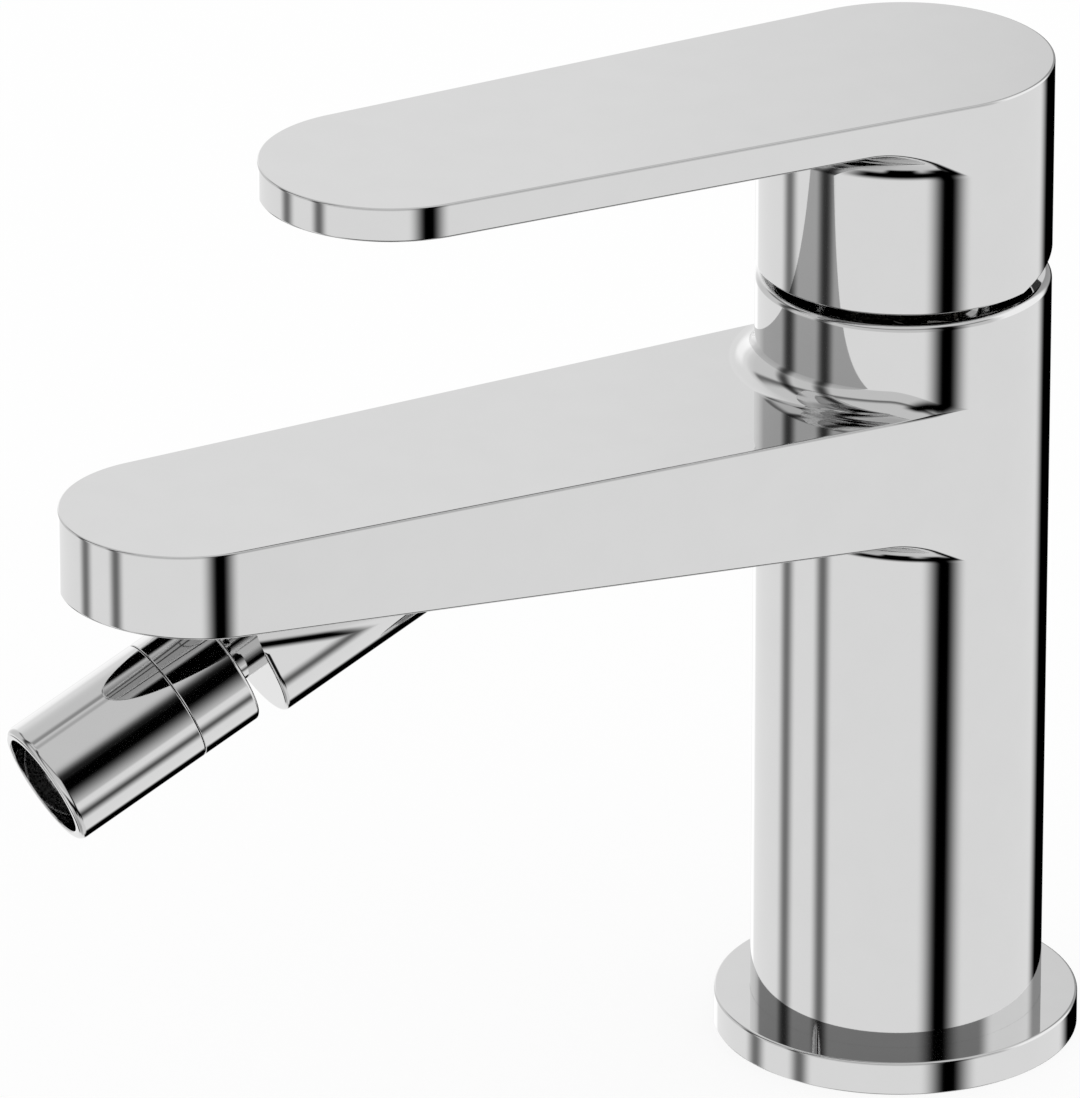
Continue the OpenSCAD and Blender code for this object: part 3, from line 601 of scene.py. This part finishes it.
lever = tongue_outline(LEVER_TIP_R, LEVER_END)
cap = Skin()
top_columns = []
for point, out in lever:
    corner = point + UP * HANDLE_TOP
    top_columns.append(rounded_edge(corner - UP * FINE_EDGE, corner, corner - out * FINE_EDGE, out, UP))
top_edge = [list(ring) for ring in zip(*top_columns)]
cap.face(top_edge[-1])
cap.bands(top_edge[::-1])
under_rows = tongue_face(lever, HANDLE_TOP - LEVER_T, LEVER_FILLET, -1)
cap.bands([top_edge[0]] + under_rows)

patch_rows = [wall_ring(lever, COLUMN_R, PLUG_Z + PATCH_HALF_H * (1 - 2 * k / PATCH_ROWS))
              for k in range(PATCH_ROWS + 1)]
behind = [i for i, (point, _) in enumerate(lever) if point.normalized().angle(BACK) < PATCH_TURN]
cap.band(under_rows[-1], patch_rows[0])
for upper, lower in zip(patch_rows, patch_rows[1:]):
    for i in range(len(lever)):
        k = (i + 1) % len(lever)
        if i not in behind or k not in behind:
            cap.face([upper[i], upper[k], lower[k], lower[i]])
rim = rim_rows(lever)
roof_ring = wall_ring(lever, SKIRT_R, ROOF, -1)
cap.bands([patch_rows[-1]] + rim + [roof_ring])
cap.face(faced(roof_ring, -UP))

# %% [markdown]
# The plug's hole goes in a small patch that was left open in the wall. The patch's border and the
# hole's rim are walked side by side, so each border point gets the rim point in the same direction.

# %% Open the hole for the plug
border = [patch_rows[0][i] for i in behind]
border += [row[behind[-1]] for row in patch_rows[1:-1]]
border += [patch_rows[-1][i] for i in reversed(behind)]
border += [row[behind[0]] for row in reversed(patch_rows[1:-1])]
hole, tube, tube_end = [], [], []
for point, _ in border:
    angle = math.atan2(point.z - PLUG_Z, point.x)
    x, z = PLUG_R * math.cos(angle), PLUG_Z + PLUG_R * math.sin(angle)
    on_wall = Vector((x, math.sqrt(COLUMN_R ** 2 - x ** 2), z))
    to_axis = Vector((-math.cos(angle), 0, -math.sin(angle)))
    hole.append((on_wall, Vector((x, on_wall.y, 0)).normalized()))
    tube.append((on_wall, to_axis))
    tube_end.append((Vector((x, PLUG_SEAT_Y, z)), to_axis))
cap.band(border, hole)
cap.band(tube, tube_end)
cap.face(faced(tube_end, BACK))

# %% [markdown]
# Inside the cap, a boss takes the spindle and a smaller one the screw. They are shells of their own in
# the same mesh.

# %% Add the bosses and finish the handle
BOSS_FOOT, BOSS_TOP = 123.56 * MM, ROOF + BURIED
SPINDLE_BOSS_R, SPINDLE_BOSS_EDGE, SPINDLE_HOLE_R = 7 * MM, 0.3 * MM, 1 * MM
SCREW_BOSS_R, SCREW_BOSS_OVERLAP = 4.5 * MM, 1 * MM
SCREW_BOSS_END = PLUG_SEAT_Y + SCREW_BOSS_OVERLAP - LIFT_PIVOT.y

over_pivot = Matrix.Translation((0, LIFT_PIVOT.y, 0))
turn_back = UP.rotation_difference(BACK).to_matrix().to_4x4()
along_screw = Matrix.Translation((0, LIFT_PIVOT.y, PLUG_Z)) @ turn_back
turned(cap, [
    (SPINDLE_HOLE_R, BOSS_FOOT, 0),
    (SPINDLE_BOSS_R, BOSS_FOOT, SPINDLE_BOSS_EDGE),
    (SPINDLE_BOSS_R, BOSS_TOP, 0),
    (SPINDLE_HOLE_R, BOSS_TOP, 0),
], over_pivot)
turned(cap, [
    (PLUG_R, 0, 0),
    (SCREW_BOSS_R, 0, 0),
    (SCREW_BOSS_R, SCREW_BOSS_END, 0),
    (PLUG_R, SCREW_BOSS_END, 0),
], along_screw)
skins.append(cap.piece("handle_skin", "lever", "handle"))

# %% [markdown]
# ## Finishes
# Every finish is a small node graph: a noise at a real scale moves the colour and the roughness a
# little, as polishing, moulding and turning do. Chrome gets the least, because plating over polished
# brass is nearly perfect, and rubber and moulded plastic get a fine bump as well.

# %% Helper: shader nodes and finishes
NOISE_LOW, NOISE_HIGH, NOISE_DETAIL = 0.3, 0.7, 3.0
BUMP_STRENGTH = 0.5


def add_node(tree, kind, links=None, **settings):
    """Add a shader node; links gives each input a socket to read from or a plain value."""
    node = tree.nodes.new("ShaderNode" + kind)
    for name, value in settings.items():
        setattr(node, name, value)
    for name, value in (links or {}).items():
        if isinstance(value, bpy.types.NodeSocket):
            tree.links.new(value, node.inputs[name])
        else:
            node.inputs[name].default_value = value
    return node


def fill_ramp(ramp, stops, interpolation="LINEAR"):
    """Give a colour ramp its (place, colour) stops."""
    ramp.interpolation = interpolation
    while len(ramp.elements) > 1:
        ramp.elements.remove(ramp.elements[-1])
    for i, (place, colour) in enumerate(stops):
        stop = ramp.elements[0] if i == 0 else ramp.elements.new(place)
        stop.position = place
        stop.color = (*colour, 1)


def grey(level):
    return (level, level, level)


def finish(name, dark, light, rough, grain, metallic=0.0, bump=0.0):
    """Material between two colours and two roughnesses, with marks of the given size in metres."""
    made = bpy.data.materials.new(name)
    made.use_nodes = True
    tree = made.node_tree
    shader = tree.nodes["Principled BSDF"]
    shader.inputs["Metallic"].default_value = metallic
    place = add_node(tree, "TexCoord")
    grains = {"Vector": place.outputs["Object"], "Scale": 1 / grain, "Detail": NOISE_DETAIL}
    marks = add_node(tree, "TexNoise", grains).outputs["Fac"]
    tint = add_node(tree, "ValToRGB", {"Fac": marks})
    fill_ramp(tint.color_ramp, [(NOISE_LOW, dark), (NOISE_HIGH, light)])
    gloss = add_node(tree, "MapRange", {"Value": marks, "From Min": NOISE_LOW, "From Max": NOISE_HIGH,
                                        "To Min": rough[0], "To Max": rough[1]})
    tree.links.new(tint.outputs["Color"], shader.inputs["Base Color"])
    tree.links.new(gloss.outputs["Result"], shader.inputs["Roughness"])
    if bump:
        relief = add_node(tree, "Bump", {"Height": marks, "Distance": bump, "Strength": BUMP_STRENGTH})
        tree.links.new(relief.outputs["Normal"], shader.inputs["Normal"])
    return made


# %% Give every piece its finish
finishes = {
    "chrome_plate": finish("polished_chrome", grey(0.66), grey(0.67), (0.03, 0.045), 6 * MM, 1.0),
    "brass": finish(
        "nickel_plated_brass", (0.38, 0.36, 0.31), (0.46, 0.44, 0.39), (0.2, 0.32), 1 * MM, 1.0),
    "stainless_steel": finish(
        "stainless_steel", (0.5, 0.49, 0.47), (0.58, 0.57, 0.55), (0.2, 0.32), 0.8 * MM, 1.0),
    "white_ceramic": finish(
        "white_ceramic", (0.8, 0.78, 0.74), (0.86, 0.85, 0.81), (0.12, 0.2), 3 * MM),
    "white_plastic": finish(
        "white_plastic", (0.74, 0.74, 0.72), (0.8, 0.8, 0.78), (0.35, 0.45), 1.5 * MM, bump=0.01 * MM),
    "grey_plastic": finish(
        "dark_grey_plastic", grey(0.008), grey(0.014), (0.75, 0.85), 1 * MM, bump=0.002 * MM),
    "black_rubber": finish(
        "black_rubber", grey(0.018), grey(0.032), (0.6, 0.75), 0.6 * MM, bump=0.02 * MM),
}
for entry in frame["record"]["subparts"]:
    nodes[entry["node"]].data.materials.clear()
    nodes[entry["node"]].data.materials.append(finishes[entry["material_slot"]])
for skin in skins:
    skin.data.materials.append(finishes["chrome_plate"])
print(f"{len(finishes)} finishes on {len(nodes)} nodes and {len(skins)} skins")

# %% [markdown]
# ## The studio
# Polished chrome has no colour of its own to show: it shows the room. The room here is a white floor
# between pale walls, with a bright lamp and some dark cards: two thin poles with struts overhead, a
# tall flag, a low flag with a grey screen over it, a bar near the floor and a rail high up. Each draws
# its own streak on the metal. Real cards and lamps would do the same, but the world's own shader is
# quicker to tune and gives no noise. Everything is written as compass angles round the column, with +X
# at 0, and as heights above the horizon, both in degrees. A card has one or more stretches round the
# compass, each with its soft edges and its level, and four heights: a soft lower and upper edge.

# %% Helper: levels and cards round the compass
WALLS = [(-180, 0.98), (-174, 0.84), (-166, 0.77), (40, 0.75), (54, 1.25), (100, 1.25), (140, 0.99),
         (155, 0.99), (163, 0.97), (180, 0.98)]
WALLS_FROM = (-21, -17)
UNDERFOOT = [(-180, 0.5), (-140, 0.45), (-84, 0.53), (-40, 0.72), (40, 0.86), (140, 0.88), (180, 0.5)]
UNDERFOOT_TO = (-64, -54)
OVERHEAD = 0.77
OVERHEAD_FROM = (32, 54)
CARDS = {
    "lamp": ([(160, 166, 172, 179, 1.26)], (-36, -29, 14, 26)),
    "rail": ([(-174, -165, 40, 52, 0.27)], (21, 27.8, 28.5, 41)),
    "poles": ([(-140, -129.5, -128.5, -118, 0.23), (-102, -93, -92, -83, 0.2)], (-50, -42, 52, 60)),
    "poles' tops": ([(-140, -129.5, -128.5, -118, 0.45), (-102, -93, -92, -83, 0.45)],
                    (-4, 12, 52, 60)),
    "struts": ([(-156, -146, -142, -134, 0.47), (-133, -117, -112, -94, 0.7)], (56, 61, 82, 88)),
    "tall flag": ([(-14, 2, 8, 25, 0.0)], (-68, -56, 36, 54)),
    "low flag": ([(98, 114, 143, 152, 0.0)], (-68, -56, -8, 8)),
    "screen": ([(98, 114, 143, 152.5, 0.4)], (-8, 8, 36, 54)),
    "bar": ([(-92, -62, 37, 58, 0.0)], (-64, -48, -41, -27)),
    "bar's foot": ([(-54, -45, -22, -10, 0.0)], (-68, -61, -50, -44)),
    "bar's end": ([(-180, -174, -157, -146, 0.0)], (-60, -50, -33, -27)),
}


def card_stops(cards):
    """Ramp stops of cards; each gives its soft edge, core, other soft edge and level."""
    stops = [(-180, 1)]
    for start, core_start, core_end, end, level in cards:
        stops += [(start, 1), (core_start, level), (core_end, level), (end, 1)]
    return stops + [(180, 1)]


# %% [markdown]
# Only glossy rays see the cards. The camera sees plain white behind the mixer, and matt surfaces get
# even white light, so plastic and rubber show the colours that they were given.

# %% Build the studio world
WHITE = (1, 1, 1, 1)

world = bpy.data.worlds.new("studio")
bpy.context.scene.world = world
world.use_nodes = True
tree = world.node_tree
tree.nodes.clear()
direction = add_node(tree, "TexCoord").outputs["Generated"]
around = add_node(tree, "TexGradient", {"Vector": direction}, gradient_type="RADIAL").outputs["Fac"]
height = add_node(tree, "SeparateXYZ", {0: direction}).outputs["Z"]


def above(low, high):
    """Soft step of the ray's height, from 0 at one elevation to 1 at the other."""
    low_z, high_z = math.sin(math.radians(low)), math.sin(math.radians(high))
    step = {"Value": height, "From Min": low_z, "From Max": high_z}
    return add_node(tree, "MapRange", step, interpolation_type="SMOOTHSTEP").outputs["Result"]


def window(low, low_end, high, high_end):
    """1 between two elevations, with a soft step at either end."""
    steps = {0: above(low, low_end), 1: above(high, high_end)}
    return add_node(tree, "Math", steps, operation="SUBTRACT").outputs[0]


def blend(factor, first, second, kind="MIX"):
    sockets = {0: factor, 6: first, 7: second}
    return add_node(tree, "Mix", sockets, data_type="RGBA", blend_type=kind).outputs[2]


def compass_ramp(stops, interpolation="LINEAR"):
    """Grey levels round the compass from (angle, level) stops."""
    ramp = add_node(tree, "ValToRGB", {"Fac": around})
    places = [(angle / 360 + 0.5, grey(level)) for angle, level in stops]
    fill_ramp(ramp.color_ramp, places, interpolation)
    return ramp.outputs["Color"]


room = blend(above(*UNDERFOOT_TO), compass_ramp(UNDERFOOT), WHITE)
room = blend(above(*WALLS_FROM), room, compass_ramp(WALLS))
room = blend(above(*OVERHEAD_FROM), room, (*grey(OVERHEAD), 1))
for cards, heights in CARDS.values():
    room = blend(window(*heights), room, compass_ramp(card_stops(cards), "EASE"), "MULTIPLY")
path = add_node(tree, "LightPath")
shown = blend(path.outputs["Is Glossy Ray"], WHITE, room)
glow = add_node(tree, "Background", {"Color": shown, "Strength": 1.0})
add_node(tree, "OutputWorld", {"Surface": glow.outputs["Background"]})
print("studio with " + ", ".join(CARDS))

# %% [markdown]
# ## The floor
# The floor is plain and pale. To the camera most of its white is its own, so it meets the white room
# without a line, and the rest takes the mixer's soft shadow. To the mirror it is clear, so that the
# chrome shows the studio's own floor. It is clear from below as well, which leaves the foot in view.

# %% Lay the floor
FLOOR_HALF = 3.0
FLOOR_DROP = 0.05 * MM
FLOOR_GREY = 0.96
SHADOW_SHARE = 0.14

signs = [(-1, -1), (1, -1), (1, 1), (-1, 1)]
floor_corners = [(x * FLOOR_HALF, y * FLOOR_HALF, -FLOOR_DROP) for x, y in signs]
floor_mesh = bpy.data.meshes.new("floor")
floor_mesh.from_pydata(floor_corners, [], [(0, 1, 2, 3)])
floor = bpy.data.objects.new("floor", floor_mesh)
bpy.context.scene.collection.objects.link(floor)

pale = bpy.data.materials.new("pale_floor")
pale.use_nodes = True
tree = pale.node_tree
tree.nodes.clear()


def either(factor, first, second):
    return add_node(tree, "MixShader", {0: factor, 1: first, 2: second}).outputs[0]


path = add_node(tree, "LightPath")
matt = add_node(tree, "BsdfDiffuse", {"Color": (*grey(FLOOR_GREY), 1)}).outputs[0]
bright = add_node(tree, "Emission", {"Color": WHITE, "Strength": 1.0}).outputs[0]
clear = add_node(tree, "BsdfTransparent").outputs[0]
below = add_node(tree, "NewGeometry").outputs["Backfacing"]
shown = either(path.outputs["Is Camera Ray"], matt, either(SHADOW_SHARE, bright, matt))
shown = either(path.outputs["Is Glossy Ray"], shown, clear)
add_node(tree, "OutputMaterial", {"Surface": either(below, shown, clear)})
floor_mesh.materials.append(pale)
print("floor laid")

# %% [markdown]
# ## The view at the end
# The picture gets the Standard view, and the scene is brought up to date. The dressed mixer must
# not outgrow the CAD model.

# %% Set the view and finish
bpy.context.scene.view_settings.view_transform = "Standard"
bpy.context.view_layer.update()
